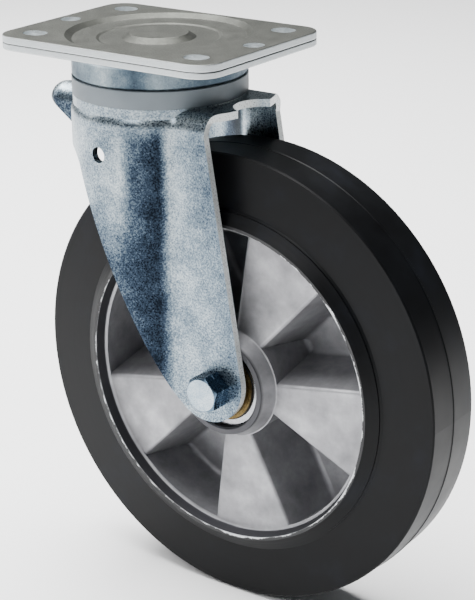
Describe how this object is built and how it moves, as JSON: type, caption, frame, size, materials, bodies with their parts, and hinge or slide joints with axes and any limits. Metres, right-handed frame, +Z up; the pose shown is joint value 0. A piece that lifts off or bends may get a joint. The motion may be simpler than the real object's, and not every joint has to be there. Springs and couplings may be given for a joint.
{
  "type": "swivel castor wheel",
  "caption": "Heavy-duty swivel castor: slotted double top plate on ball races, pressed steel fork, solid rubber tyre on a die-cast wheel centre.",
  "frame": {"origin": "centre of the flat mounting face of the top plate, on the swivel axis", "axes": "+Z up along the swivel axis, out of the mounting face; +X the way the wheel trails; the axle runs along Y"},
  "size_m": [0.256, 0.105, 0.302],
  "materials": {
    "zinc_plate": "zinc plated, matt grey",
    "zinc_fork": "bright zinc plated, blue passivated",
    "zinc_fastener": "zinc plated",
    "hardened_steel": "hardened steel, oiled",
    "ball_steel": "polished bearing steel",
    "grey_plastic": "moulded grey plastic",
    "seal_rubber": "black seal rubber",
    "yellow_zinc": "yellow chromated steel",
    "cast_aluminium": "as cast, satin",
    "tyre_rubber": "solid black rubber, satin"
  },
  "bodies": {
    "head": {"mounting_plate": "zinc_plate", "race_plate": "zinc_plate", "kingpin": "hardened_steel", "kingpin_nut": "zinc_fastener", "lower_race_dish": "hardened_steel"},
    "upper_ball_row": {"upper_balls": "ball_steel"},
    "lower_ball_row": {"lower_balls": "ball_steel"},
    "fork_body": {"fork": "zinc_fork", "seal_ring": "grey_plastic", "axle_bolt": "zinc_fastener", "axle_thin_nut": "zinc_fastener", "axle_washer": "zinc_fastener", "axle_lock_nut": "zinc_fastener", "axle_tube": "zinc_fastener", "bearing_spacer": "zinc_fastener", "bearing_inner_ring_near": "ball_steel", "bearing_cap_near": "yellow_zinc", "bearing_inner_ring_far": "ball_steel", "bearing_cap_far": "yellow_zinc"},
    "wheel_body": {"wheel_centre": "cast_aluminium", "tyre": "tyre_rubber", "bearing_outer_ring_near": "ball_steel", "bearing_outer_ring_far": "ball_steel", "bearing_seals_near": "seal_rubber", "bearing_seals_far": "seal_rubber"},
    "bearing_set_near": {"bearing_balls_near": "ball_steel", "bearing_cage_near": "ball_steel"},
    "bearing_set_far": {"bearing_balls_far": "ball_steel", "bearing_cage_far": "ball_steel"}
  },
  "joints": [
    {"name": "swivel", "type": "hinge", "parent": "head", "child": "fork_body", "pos_m": [0, 0, 0], "axis": [0, 0, 1], "continuous": true},
    {"name": "upper_balls_roll", "type": "hinge", "parent": "head", "child": "upper_ball_row", "pos_m": [0, 0, 0], "axis": [0, 0, 1], "continuous": true},
    {"name": "lower_balls_roll", "type": "hinge", "parent": "head", "child": "lower_ball_row", "pos_m": [0, 0, 0], "axis": [0, 0, 1], "continuous": true},
    {"name": "wheel_spin", "type": "hinge", "parent": "fork_body", "child": "wheel_body", "pos_m": [0.057, 0, -0.177], "axis": [0, 1, 0], "continuous": true},
    {"name": "near_bearing_roll", "type": "hinge", "parent": "fork_body", "child": "bearing_set_near", "pos_m": [0.057, 0, -0.177], "axis": [0, 1, 0], "continuous": true},
    {"name": "far_bearing_roll", "type": "hinge", "parent": "fork_body", "child": "bearing_set_far", "pos_m": [0.057, 0, -0.177], "axis": [0, 1, 0], "continuous": true}
  ],
  "couplings": [
    {"joint": "upper_balls_roll", "follows": "swivel", "ratio": 0.5},
    {"joint": "lower_balls_roll", "follows": "swivel", "ratio": 0.5},
    {"joint": "near_bearing_roll", "follows": "wheel_spin", "ratio": 0.6147},
    {"joint": "far_bearing_roll", "follows": "wheel_spin", "ratio": 0.6147}
  ]
}
